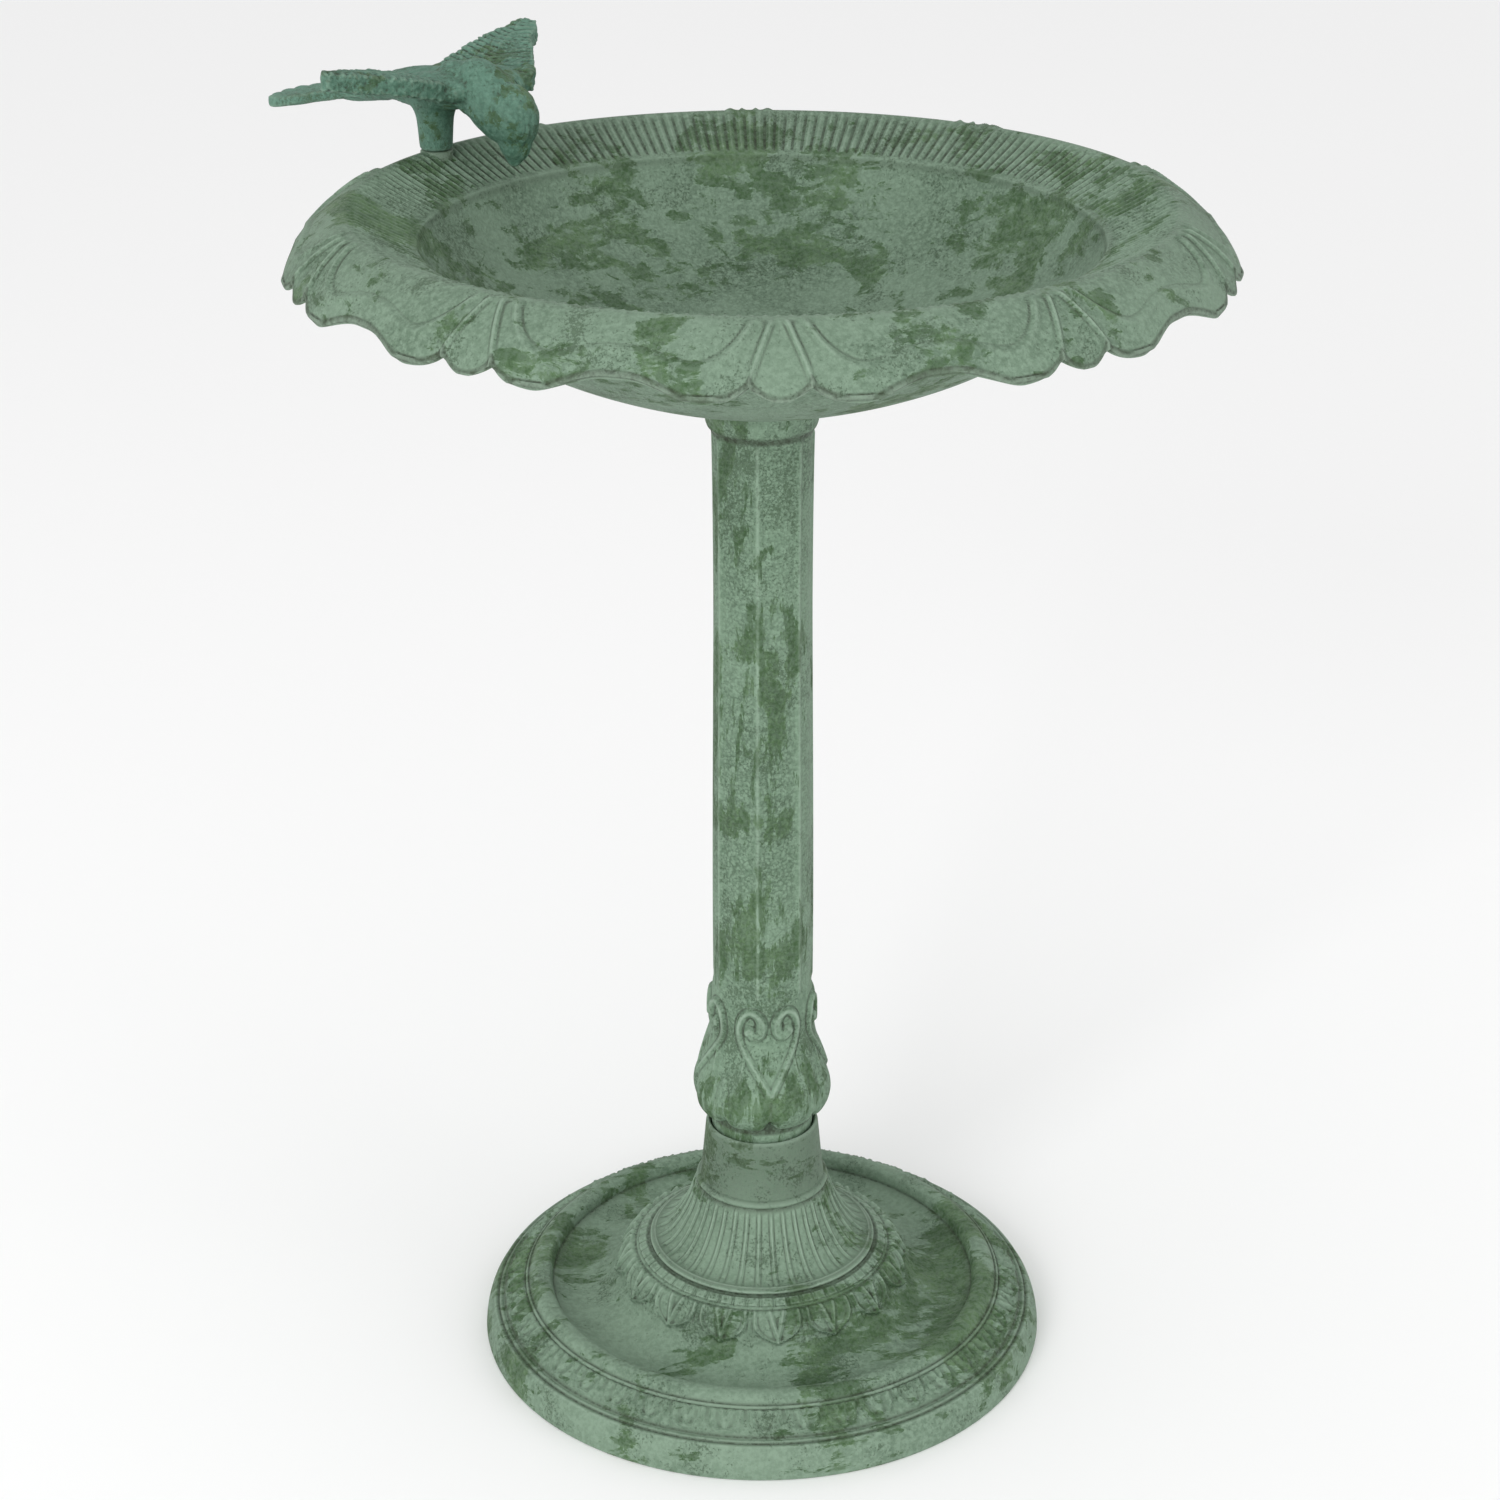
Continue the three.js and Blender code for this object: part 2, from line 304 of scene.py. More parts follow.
# %% bowl skins
ledge = [(171.2, 638.6), (171.9, 640.6), (172.8, 642.4), (174.6, 643.2)]
rib_slope = [(174.6, 643.2), (184, 647.6), (196, 653.6), (203, 657.6), (207, 659)]
lip = [(239, 631.6), (239.6, 630.6), (239.2, 629.4), (238, 628.9)]
skirt_back = [(238, 628.9), (234, 634.6), (228.5, 641.4), (221, 647.6), (213.6, 651.8)]
face = [*smooth(ledge, 1.2)[:-1], *smooth(rib_slope, 3)[:-1], *smooth(SKIRT, 1.15)[:-1],
        *smooth(lip, 1)[:-1], *smooth(skirt_back, 3.5)]
bowl_face = spun("bowl_face", face, FACE_COLUMNS)

dish = [(0, 562.5), (30, 563.9), (55, 567.8), (96, 580.4), (126, 594.5), (150, 611.5), (165, 628),
        (170.6, 637.5)]
bowl_dish = spun("bowl_dish", smooth(dish, 6), INNER_COLUMNS)

under = [(212.8, 652.1), (208, 653.2), (202, 651.6), (190, 646.2), (177, 637), (170, 625.5), (156, 610),
         (132, 592.3), (100, 577), (60, 563), (32, 556.2), (30.8, 556)]
boss = [(30.8, 556), (21.2, 556), (21.2, 534.8), (20.4, 534), (4.6, 534), (4.6, 554), (0, 554)]
bowl_under = spun("bowl_under", [*smooth(under, 5)[:-1], *boss], INNER_COLUMNS)


# %% [markdown]
# The ribs of a fan are thin, and evenly spaced columns would miss them. Below the crest the columns are drawn
# towards each fan, so that the same number of them gives sharp ribs there and fewer in the plain arches.

# %% skirt outline
def draw_in_skirt(piece):
    place = read(piece)
    radius, angle, level = polar(place)
    share = np.clip((radius - CREST) / (239 - CREST), 0, 1)
    from_fan = repeat(angle, FANS, FIRST_FAN)
    c = from_fan / 18
    crowded = 18 * (0.45 * c + 0.55 * c ** 3)
    crowding = step(0.02, 0.25, share)
    turned = from_fan + crowding * (crowded - from_fan)
    angle = np.radians(angle + turned - from_fan)
    drawn = radius - (239 - edge_radius(turned)) * share ** 1.4
    level = level + np.where(share > 0, skirt_level(drawn) - skirt_level(np.minimum(radius, 239)), 0)
    place = np.stack([drawn * np.cos(angle), drawn * np.sin(angle), level], 1) * MM
    write(piece, place)


def face_height(radius, angle, level):
    from_fan = repeat(angle, FANS, FIRST_FAN)
    a = np.abs(from_fan)
    on_top = level > skirt_level(np.minimum(radius, 239)) - 1.2
    share = np.clip((radius - CREST) / (CUSP_RADIUS - CREST), 0, 1)
    # the fine ribs inside the crest
    ribs = 0.85 * np.cos(np.radians(angle - FIRST_FAN) * RIM_RIBS) * band(175.8, 206.2, radius, 2.2)
    # the two straight ribs of a fan
    rib_line = np.degrees((2.4 + 11.4 * share ** 1.4) / radius)
    aside = np.radians(a - rib_line) * radius
    fan = 1.9 * ridge(aside, 3.1) * step(0.09, 0.26, share)
    hollow = -0.5 * (1 - step(-6, -1.5, aside)) * step(0.1, 0.4, share)
    # the border line of the field between two fans
    from_edge = (edge_radius(from_fan) - radius) * 1.3
    across = aside - 6 - 8 * share
    down = from_edge - 9
    corner = 15.0
    blend = np.maximum(corner - np.abs(across - down), 0) / corner
    field = np.minimum(across, down) - blend ** 2 * corner / 4
    fade = 0.5 + 0.5 * np.exp(-((a - 6) / 5.5) ** 2)
    border = (1.4 * ridge(field, 4.2) - 0.6 * ridge(field - 3.4, 2.6)) * step(0.03, 0.16, share) * fade
    inside_field = -0.3 * step(0, 8, field) * step(0.03, 0.2, share)
    outer = (radius > CREST + 1) & on_top
    return np.where(outer, fan + hollow + border + inside_field, np.where(radius < CREST, ribs, 0))


draw_in_skirt(bowl_face)
relief(bowl_face, face_height)
# A dark worn line along the scalloped edge, and painted shade in the crease where the rib slope meets the
# dish.
edge_radius_now, edge_angle, _ = polar(read(bowl_face))
to_edge = edge_radius(repeat(edge_angle, FANS, FIRST_FAN)) - edge_radius_now
keep(bowl_face, "dirt_and_shade", np.maximum(1 - step(0.1, 0.9, to_edge), 0.35 * ridge(edge_radius_now - 171.8, 1.6)))
keep(bowl_face, "pebbled", 0.35)
keep(bowl_dish, "pebbled", 0.55)
keep(bowl_under, "pebbled", 0.5)
pad_line = [(2.9, 646.8), (8.6, 646.8), (8.6, 658.5), (8.1, 659), (2.9, 659), (2.9, 646.8)]
stem_pad = spun("stem_pad", pad_line, 48)
write(stem_pad, read(stem_pad) + STEM_PLACE * (1, 1, 0) * MM)
# Painted shade: the pad under the bird is darkened.
keep(stem_pad, "dirt_and_shade", 0.5)
bowl = joined("bowl", bowl_face, bowl_dish, bowl_under, stem_pad)
bridge(bowl, (170, 171.6, 637, 639.2), (212, 214.5, 650.5, 653))

# %% [markdown]
# ## The base
# The base is one hollow casting, lighter than it looks. From the top down it has a socket for the column, a
# plain neck, a flare with 36 thin ribs, a row of small square blocks, sixteen lotus leaves, a plain dished
# floor, a round moulding, a band of 42 small leaves and a plain foot. Each zone is spun with as many
# columns as its ornament needs, a multiple of its number of repeats so that every repeat comes out the
# same.

# %% base sizes
FLARE_RIBS = 36
FIRST_FLARE_RIB = -104.6
BLOCKS = 56
FIRST_BLOCK = -106.2
LOTUS_LEAVES = 16
FIRST_LOTUS = -96.0
SMALL_LEAVES = 42
FIRST_SMALL_LEAF = -101.6

# %% base skins
lip_and_neck = [*smooth([(28.9, 125), (29, 130.6), (29.5, 131.9), (30.3, 132.3), (31.3, 131.7),
                         (31.7, 130.2)], 1.2)[:-1],
                *smooth([(31.7, 130.2), (32.4, 123), (33.4, 112), (34.7, 100), (35.2, 97.8)], 6)[:-1],
                *smooth([(35.2, 97.8), (36.3, 97.2), (37.2, 96), (37.4, 94.6), (36.8, 93.6)], 0.8)[:-1]]
flare = [*smooth([(36.8, 93.6), (38.3, 90.5), (41, 82), (44.5, 74.4), (49, 67), (54.5, 61),
                  (60.5, 57.9)], 4)[:-1],
         *smooth([(60.5, 57.9), (61.6, 58.1), (62.3, 57.5), (62.7, 56.9), (63.6, 56.8), (64.2, 56.2),
                  (64.2, 55.4),
                  (63.6, 54.8), (64.2, 54.4), (65, 54.4)], 0.7)]
base_neck = spun("base_neck", [*lip_and_neck, *flare], FLARE_RIBS * 14)

crown = [*smooth([(65.5, 54.2), (68, 53), (70.6, 51.3), (71.4, 51.1), (72.2, 50.6)], 0.55)[:-1],
         *smooth([(72.2, 50.6), (75.2, 48.6), (78.2, 44.6), (80.6, 40.2), (82.8, 35.8), (86, 31.6)], 0.85)]
base_crown = spun("base_crown", crown, BLOCKS * 12)

floor_line = [(87.2, 30.5), (89.4, 28.7), (94, 26.5), (102, 24.6), (110, 24.7), (116, 26.5), (119.6, 28.2)]
torus = [(119.6, 28.2), (120.8, 28.6), (121.3, 30.4), (121.9, 32.8), (123.6, 34.8), (126.4, 35.6),
         (129.4, 35.6), (132.2, 34.2),
         (134, 32.2), (134.8, 31)]
fillet = [(134.8, 31), (135.6, 31.2), (136.3, 30.7), (136.7, 29.7)]
leaf_slope = [(136.7, 29.7), (139, 27.9), (142.4, 25.4), (146, 22.5), (148.9, 20.2)]
foot = [(148.9, 20.2), (149.8, 19.5), (150.8, 19.8), (151.8, 19.4), (152.4, 18.3), (153.5, 18.5),
        (154.8, 18.1),
        (155.5, 17)]
skirting = [(155.5, 17), (157.6, 13.4), (159.2, 8), (159.9, 2), (159.5, 0.4), (158.4, 0), (155.8, 0),
            (155, 0.5)]
outside = [*smooth(floor_line, 6)[:-1], *smooth(torus, 1.7)[:-1], *smooth(fillet, 0.7)[:-1],
           *smooth(leaf_slope, 0.85)[:-1], *smooth(foot, 0.8)[:-1], *smooth(skirting, 3)]
base_outside = spun("base_outside", outside, SMALL_LEAVES * 18)

hollow = [(154.7, 3.5), (153, 8), (130, 27), (114, 19), (98, 18), (84, 24), (72, 40), (56, 52), (41, 72),
          (31, 93),
          (4.6, 93), (4.6, 98), (28.9, 98), (28.9, 124)]
base_under = spun("base_under", hollow, 144)


# %% [markdown]
# The leaves share one formula: a raised body inside an outline, a rim along the outline, and two veins that
# part upwards from the tip so that each half is a hollow pad. A pointed leaf and a round one differ in
# outline.

# %% base relief
def leaf(across, along, half_width, length, roundness):
    """Height of a leaf whose top is at along = 0 and tip at along = length."""
    s = np.clip(along / length, 0, 1.2)
    if roundness:
        outline = half_width * np.sqrt(np.clip(1 - s ** roundness, 0, 1))
    else:
        outline = half_width * (1 + 0.3 * s - 1.3 * s ** 3.1)
    side = np.abs(across)
    inside = np.minimum(outline - side, (length - along) * 0.9)
    vein = side - 0.3 * half_width * np.clip(1 - s / 0.8, 0, 1)
    body = step(-0.5, 0.5, inside)
    rim = ridge(inside - 0.9, 1.9)
    pad = step(0.6, 2.2, np.minimum(inside - 1, np.abs(vein)))
    return (body * (0.95 + 0.75 * ridge(vein, 2.0) - 0.45 * pad) + 0.7 * rim * body
            - 0.5 * ridge(inside + 1.1, 1.3))


def neck_height(radius, angle, level):
    aside = np.radians(repeat(angle, FLARE_RIBS, FIRST_FLARE_RIB)) * radius
    on_flare = band(38.2, 60.2, radius, 1.6) * (level < 93)
    return on_flare * (1.25 * ridge(aside, 1.9) - 0.45)


def crown_height(radius, angle, level):
    block_side = np.radians(repeat(angle, BLOCKS, FIRST_BLOCK)) * radius
    blocks = 1.1 * band(-2.8, 2.8, block_side, 1.0) * band(66.2, 70.6, radius, 0.9)
    frames = 0.35 * ridge(np.abs(block_side) - 3.75, 0.9) * band(66, 71, radius, 1)
    blocks = blocks + 0.5 * ridge(radius - 71.7, 1.2) + frames
    along = (50.6 - level) * 1.22
    across = np.radians(repeat(angle, LOTUS_LEAVES, FIRST_LOTUS)) * radius
    between = np.radians(repeat(angle, LOTUS_LEAVES, FIRST_LOTUS + 180 / LOTUS_LEAVES)) * radius
    front_leaf = leaf(across, along - 0.6, 12.8, 18.8, 0) * 1.6
    back_outline = 2.4 + 5.2 * step(2, 13, along)
    back_inside = np.minimum(back_outline - np.abs(between), (20.4 - along) - 0.09 * between ** 2)
    rays = ridge(between, 1.4) + ridge(np.abs(between) - 0.26 * along, 1.3)
    back_leaf = step(-0.5, 0.6, back_inside) * (0.25 + 0.5 * rays) + 0.3 * ridge(back_inside - 0.8, 1.4)
    leaves = np.where(along > 0.4, np.maximum(front_leaf, np.where(front_leaf > 0.12, -9, back_leaf)), 0)
    return np.where(radius < 72.2, blocks, leaves * step(0.4, 1.4, along))


def outside_height(radius, angle, level):
    across = np.radians(repeat(angle, SMALL_LEAVES, FIRST_SMALL_LEAF)) * radius
    between = np.radians(repeat(angle, SMALL_LEAVES, FIRST_SMALL_LEAF + 180 / SMALL_LEAVES)) * radius
    along = (radius - 137) * 1.28
    in_band = band(137.2, 148.6, radius, 0.9)
    dart = 0.55 * ridge(np.abs(between) - 0.34 * np.clip(along - 6.5, 0, 9), 1.3) * step(5.5, 7.5, along)
    leaves = np.maximum(leaf(across, along, 8.7, 13.6, 3.4) * 1.35, 1.5 * dart)
    return in_band * leaves


# Ring-shaped creases, each at (radius, level) in mm, that get painted shade.
SHADED_RINGS = [(36.9, 93.5), (61.6, 57.2), (63.7, 54.8), (65.4, 54.2), (120.6, 28.8), (134.8, 31.0),
               (148.9, 20.2), (152.4, 18.4)]


def keep_dirt_and_shade(skin, rings, width):
    """Marks painted shade in the ring-shaped hollows, each at (radius, level) in mm, and darkens everything
    above a level of 96 mm.
    """
    radius, _, level = polar(read(skin))
    dirt_and_shade = 0.5 * step(94, 98, level)
    for r, z in rings:
        dirt_and_shade = np.maximum(dirt_and_shade, ridge(np.hypot(radius - r, level - z), width))
    keep(skin, "dirt_and_shade", dirt_and_shade)


for skin in (base_neck, base_crown, base_outside, base_under):
    keep_dirt_and_shade(skin, SHADED_RINGS, 2.4)
relief(base_neck, neck_height)
relief(base_crown, crown_height)
relief(base_outside, outside_height)
base = joined("base", base_neck, base_crown, base_outside, base_under)
# The foot's two rims are kept at different heights. Rims in one plane, with 756 points on one and 144 on the
# other, get bridged straight across the opening, which closes the hollow base with a lid.
bridge(base, (64.8, 65.7, 53.9, 54.7), (85.5, 87.6, 29.8, 32.2), (154.5, 155.2, 0.3, 3.7),
       (28.5, 29.2, 123, 126))

# %% [markdown]
# ## The column
# The column is cast hollow so that the rod can pass. Seven narrow reeds run up it to a small flared collar.
# At its foot a bulb carries four hearts, each a raised border that ends in two scrolls, with petals between
# them. The shaft needs few rows because its reeds run straight up, and the bulb needs many.

# %% column sizes
REEDS = 7
FIRST_REED = -107.1
HEARTS = 4
FIRST_HEART = -94.2
HEART_SIDE = [(0.4, 166), (6.9, 177.2), (13.6, 189.1), (16.4, 196.6), (16.8, 204.2), (14.4, 210.8),
              (10.2, 213.2),
              (6.2, 211.4), (4.1, 206.8), (4.8, 201.6), (7.8, 199.2), (10.8, 201.4)]

# %% column skins
ring = smooth([(27.5, 99), (28.2, 118), (28.4, 133)], 12)
bulb = [(28.4, 133), (28.5, 139.4), (29.2, 141), (32, 142.1), (34.6, 143.6), (35.8, 145.8),
        (36.9, 149.6), (37.6, 156), (36.4, 164),
        (34.2, 172), (31.6, 180.5), (29.6, 188), (28.6, 195), (28.5, 202), (28.4, 208), (27.9, 214),
        (27.2, 223)]
shaft = [(27.2, 223), (27.2, 270), (26.8, 330), (26.2, 390), (25.7, 446), (25.9, 505), (26.3, 535)]
collar = [(26.3, 535), (26.5, 539), (26.9, 541), (28.3, 542.6), (29.3, 545.2), (29.6, 547.6),
          (30.3, 549.4), (30.9, 551.2),
          (31, 554.8), (30.4, 555.7)]
column_outside = spun("column_outside", [*ring[:-1], *smooth(bulb, 0.78)[:-1], *smooth(shaft, 14)[:-1],
                                         *smooth(collar, 0.9)], 364)
bore = [(27, 98.4), (22, 98.4), (22, 250), (22, 400), (22, 555.7), (30, 555.7)]
column_inside = spun("column_inside", bore, 52)


# %% [markdown]
# A heart's border is a path across the bulb. The height falls off with the distance from that path, which is
# measured to each short piece of the path in turn, and the nearest one counts.

# %% column relief
def nearest_on_path(u, v, path):
    """Distance from (u, v) to the path, and how far along it the nearest point is, from 0 to 1."""
    best = np.full(len(u), 99.0)
    along = np.zeros(len(u))
    for k, ((u0, v0), (u1, v1)) in enumerate(zip(path, path[1:])):
        du, dv = u1 - u0, v1 - v0
        t = np.clip(((u - u0) * du + (v - v0) * dv) / (du * du + dv * dv), 0, 1)
        gap = np.hypot(u - u0 - t * du, v - v0 - t * dv)
        nearer = gap < best
        best[nearer] = gap[nearer]
        along[nearer] = (k + t[nearer]) / (len(path) - 1)
    return best, along


heart_path = [tuple(p) for p in smooth(HEART_SIDE, 1.2)]


def column_height(radius, angle, level):
    reed_side = np.radians(repeat(angle, REEDS, FIRST_REED)) * radius
    on_shaft = band(221, 539, level, 5)
    shaft_height = on_shaft * (1.6 * ridge(reed_side, 5.4) - 0.3)
    u = np.radians(repeat(angle, HEARTS, FIRST_HEART)) * radius
    side = np.abs(u)
    height = np.zeros(len(u))
    near = (level > 152) & (level < 224)
    gap, along = nearest_on_path(side[near], level[near], heart_path)
    scroll = step(0.42, 0.62, along)
    half = 2.2 + 1.2 * step(0.7, 0.95, along)
    border = step(-half - 1.0, -half + 2.2, -gap)
    s, z = side[near], level[near]
    outer_line = np.interp(z, [162, 189, 204, 214], [-1, 14, 17, 8])
    field = step(-1, 1.5, outer_line - s) * (z < 205)
    groove = ridge(gap - half - 0.8, 1.8) * (1 - field)
    crease = ridge(gap - half - 0.4, 1.6) * field
    height[near] = (np.maximum((1.5 + 0.9 * scroll) * border, 0.5 * field) - 0.25 * groove - 0.2 * crease)
    between = np.radians(repeat(angle, HEARTS, FIRST_HEART + 45)) * radius
    split = -1.6 * ridge(u, 6) * band(138, 162, level, 5)
    width = 6.4 * (1 - (level - 140) / 34)
    dagger = (0.6 * ridge(np.abs(between) - width, 2.6) + 0.5 * step(0, 1, width - np.abs(between)))
    dagger = (dagger * band(145, 173, level, 3)
              - 0.3 * ridge(np.abs(between) - width - 2.4, 3) * band(145, 176, level, 3))
    cusps = -4.0 * (ridge(u, 7) + ridge(between, 7)) * band(141.6, 147, level, 4)
    rise = 1.3 * step(1, 10, side) * step(2, 9, np.abs(between)) * band(145, 166, level, 12)
    edge_line = 0.8 * ridge(np.abs(between) - 9.5, 1.6) * band(172, 206, level, 8) * (height < 0.2)
    return height + shaft_height + split + dagger + cusps + rise + edge_line


relief(column_outside, column_height)
column_radius, column_angle, column_level = polar(read(column_outside))
# Painted shadow on the ring under the bulb's overhang and on the band under the collar.
shade_under_bulb = band(136.5, 143, column_level, 2) * (column_radius < 33)
keep(column_outside, "dirt_and_shade", np.maximum(shade_under_bulb, band(539, 543, column_level, 2)))
panel = 1 - ridge(np.radians(repeat(column_angle, REEDS, FIRST_REED)) * 27, 6)
keep(column_outside, "pebbled", 0.2 + 0.7 * panel * step(215, 240, column_level))
column = joined("column", column_outside, column_inside)
bridge(column, (26.5, 27.6, 98, 99.5), (29.5, 31, 555, 556))


# %% [markdown]
# ## Where paint gathers and wears
# Wax and dirt stay in hollows, and handling rubs the edges. How far the neighbours of a vertex rise above its
# tangent plane tells one from the other, so that is kept as an attribute for the paint to read.

# %% hollows and edges
def neighbour_mean(values, a, b, count):
    total = np.bincount(a, values[b], count) + np.bincount(b, values[a], count)
    return total / np.maximum(np.bincount(a, minlength=count) + np.bincount(b, minlength=count), 1)


def keep_hollows(piece, rounds=3):
    count = len(piece.data.vertices)
    ends = np.empty(len(piece.data.edges) * 2, np.int32)
    piece.data.edges.foreach_get("vertices", ends)
    a, b = ends.reshape(-1, 2).T
    place, normal = read(piece) / MM, read(piece, "normal")
    span = place[b] - place[a]
    square = np.maximum((span ** 2).sum(1), 0.04)
    rise_a = (normal[a] * span).sum(1) / square
    rise_b = -(normal[b] * span).sum(1) / square
    hollow = (np.bincount(a, rise_a, count) + np.bincount(b, rise_b, count)) / np.maximum(
        np.bincount(a, minlength=count) + np.bincount(b, minlength=count), 1)
    hollow = np.clip(hollow, -1, 1)
    for _ in range(rounds):
        hollow = 0.5 * hollow + 0.5 * neighbour_mean(hollow, a, b, count)
    keep(piece, "hollow", hollow)
    print(piece.name, "hollows from", round(float(hollow.min()), 2), "to", round(float(hollow.max()), 2))


for piece, rounds in ((bowl, 1), (base, 3), (column, 5)):
    keep_hollows(piece, rounds)

# %% [markdown]
# ## Materials by formula
# Shader maths reads best as ordinary expressions. `Value` wraps a node's socket so that + - * / build Math
# nodes, and `Finish` owns one material and makes every other node.

# %% expression class
class Value:
    """A socket that can be used in arithmetic."""

    def __init__(self, finish, socket):
        self.finish = finish
        self.socket = socket

    def math(self, operation, first, second=0.0):
        return self.finish.node("ShaderNodeMath", {"operation": operation}, {0: first, 1: second})

    def __add__(self, other):
        return self.math("ADD", self, other)

    def __sub__(self, other):
        return self.math("SUBTRACT", self, other)

    def __mul__(self, other):
        return self.math("MULTIPLY", self, other)

    def __truediv__(self, other):
        return self.math("DIVIDE", self, other)

    def __radd__(self, other):
        return self.math("ADD", other, self)

    def __rsub__(self, other):
        return self.math("SUBTRACT", other, self)

    def __rmul__(self, other):
        return self.math("MULTIPLY", other, self)

    def between(self, low, high):
        """0 at low, 1 at high, with soft ends."""
        return self.finish.node("ShaderNodeMapRange", {"interpolation_type": "SMOOTHSTEP"},
                                {"Value": self, "From Min": low, "From Max": high})


class Finish:
    """One material and the nodes that make it."""

    def __init__(self, name):
        self.material = bpy.data.materials.new(name)
        self.material.use_nodes = True
        self.tree = self.material.node_tree
        self.shader = self.tree.nodes["Principled BSDF"]
        self.place = self.node("ShaderNodeTexCoord", {}, {}, "Object")

    def node(self, kind, settings, sockets, output=0):
        made = self.tree.nodes.new(kind)
        for name, value in settings.items():
            setattr(made, name, value)
        for name, value in sockets.items():
            if isinstance(value, Value):
                self.tree.links.new(value.socket, made.inputs[name])
            else:
                made.inputs[name].default_value = value
        return Value(self, made.outputs[output])

    def stretched(self, x, y, z):
        return self.node("ShaderNodeVectorMath", {"operation": "MULTIPLY"}, {0: self.place, 1: (x, y, z)})

    def noise(self, scale, detail=2.0, rough=0.5, place=None, distortion=0.0):
        return self.node("ShaderNodeTexNoise", {}, {
            "Vector": place or self.place, "Scale": scale, "Detail": detail,
            "Roughness": rough, "Distortion": distortion})

    def attribute(self, name):
        return self.node("ShaderNodeAttribute", {"attribute_name": name}, {}, "Fac")

    def mix(self, factor, first, second):
        return self.node("ShaderNodeMix", {"data_type": "RGBA"}, {0: factor, 6: first, 7: second}, 2)

    def bump(self, height, distance, strength=1.0):
        return self.node("ShaderNodeBump", {}, {"Height": height, "Distance": distance, "Strength": strength})

    def set(self, **sockets):
        for name, value in sockets.items():
            socket = self.shader.inputs[name.replace("_", " ")]
            if isinstance(value, Value):
                self.tree.links.new(value.socket, socket)
            else:
                socket.default_value = value
        return self.material


def paint_over(piece, finish):
    piece.data.materials.clear()
    piece.data.materials.append(finish.material)


# %% [markdown]
# ## Verdigris paint
# The castings are painted a pale sage green, then a moss-green glaze is dabbed on with a stiff brush and
# wiped off again. It stays in streaky patches, in pits and in grooves, and the ridges are rubbed pale.
# Creases and the places under overhangs get painted shade in the same dark colour.

# %% verdigris
def colour(red, green, blue):
    """An 8-bit screen colour as linear light."""
    values = (red, green, blue)
    return tuple(((v / 255 + 0.055) / 1.055) ** 2.4 if v > 10 else v / 3295 for v in values) + (1,)


def verdigris(name, moss_amount, pit_amount, brush=(30, 90, 130), tint=(0, 0, 0), wear=0.7):
    paint = Finish(name)
    r, g, b = tint
    cloudy = paint.noise(16, 4, 0.6).between(0.36, 0.64)
    fine = paint.noise(340, 3, 0.65).between(0.36, 0.64)
    sage = paint.mix(cloudy, colour(116 + r, 139 + g, 119 + b), colour(99 + r, 122 + g, 102 + b))
    sage = paint.mix(fine * 0.7, sage, colour(136 + r, 158 + g, 139 + b))
    streaks = paint.noise(1, 5, 0.7, paint.stretched(*brush), 0.4) - 0.5
    dabs = paint.noise(14, 7, 0.6, distortion=0.5) - 0.5
    smear = dabs + 0.6 * streaks
    patch = smear.between(0.05 - moss_amount, 0.09 - moss_amount)
    hollow = paint.attribute("hollow")
    groove = hollow.between(0.02, 0.14)
    moss = paint.mix(streaks.between(-0.12, 0.12), colour(85, 113, 77), colour(55, 84, 49))
    skin = paint.mix(patch * (0.6 + 0.4 * fine), sage, moss)
    cells = paint.node("ShaderNodeTexVoronoi", {}, {"Vector": paint.place, "Scale": 620.0, "Randomness": 1.0})
    pebbles = cells.between(0.45, 0.75) * paint.attribute("pebbled")
    skin = paint.mix(pebbles * (0.25 + 0.3 * cloudy), skin, colour(52, 74, 52))
    grain = paint.noise(700, 4, 0.75) - 0.5
    zone = paint.noise(30, 5, 0.7) - 0.5
    pits = (grain + 0.9 * zone).between(0.12 - pit_amount, 0.17 - pit_amount)
    skin = paint.mix(pits * (0.6 - 0.25 * patch), skin, colour(54, 78, 50))
    # Painted shade: the stored darkening of creases and of places under overhangs is added to the glaze in
    # grooves.
    glaze_and_shade = paint.node("ShaderNodeMath", {"operation": "MAXIMUM"}, {0: groove, 1: paint.attribute("dirt_and_shade")})
    skin = paint.mix(glaze_and_shade * (0.45 + 0.45 * fine), skin, colour(44, 54, 38))
    worn = (0.0 - hollow).between(0.03, 0.2)
    skin = paint.mix(worn * (wear - 0.4 * wear * patch), skin, colour(148, 170, 151))
    surface = paint.bump(paint.noise(190, 3, 0.6) + 0.5 * grain - 0.35 * pits - 0.4 * pebbles, 0.001, 0.7)
    paint.set(Base_Color=skin, Roughness=0.6 + 0.22 * fine, Normal=surface)
    return paint


# %% paint the castings
paint_over(bowl, verdigris("bowl_verdigris", 0.015, 0.01, (60, 60, 130), (-11, -10, -11), 0.4))
paint_over(base, verdigris("base_verdigris", 0.015, 0.01, (30, 90, 130), (-7, -6, -7), 0.5))
paint_over(column, verdigris("column_verdigris", 0.015, 0.05, (110, 110, 26), (-9, -6, -9)))
for piece, node in ((bowl, "bowl_casting"), (base, "base_casting"), (column, "column_casting")):
    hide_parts(node)
    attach(piece, node.split("_")[0])

# %% [markdown]
# ## The bird
# The bird is a small casting of its own, drinking with its head straight down, and it stands on one short
# stem. A casting has no seams, so the simple volumes of body, neck, head, tail and wings are pushed into
# each other and remeshed into one skin. Smoothing rounds the joins, and the feathers are raised afterwards
# by formula.

# %% bird sizes
STEM_SEAT = 0.3
WING_LIFT = [(0, 34), (20, 37), (42, 43), (85, 50)]
FAR_WING_LEAN = [(0, 2), (14, 9), (26, 12), (45, 6), (64, 2), (80, 5), (86, 5)]
NEAR_WING_LEAN = [(0, -6), (12, -12), (26, -8), (45, -2), (86, 0)]


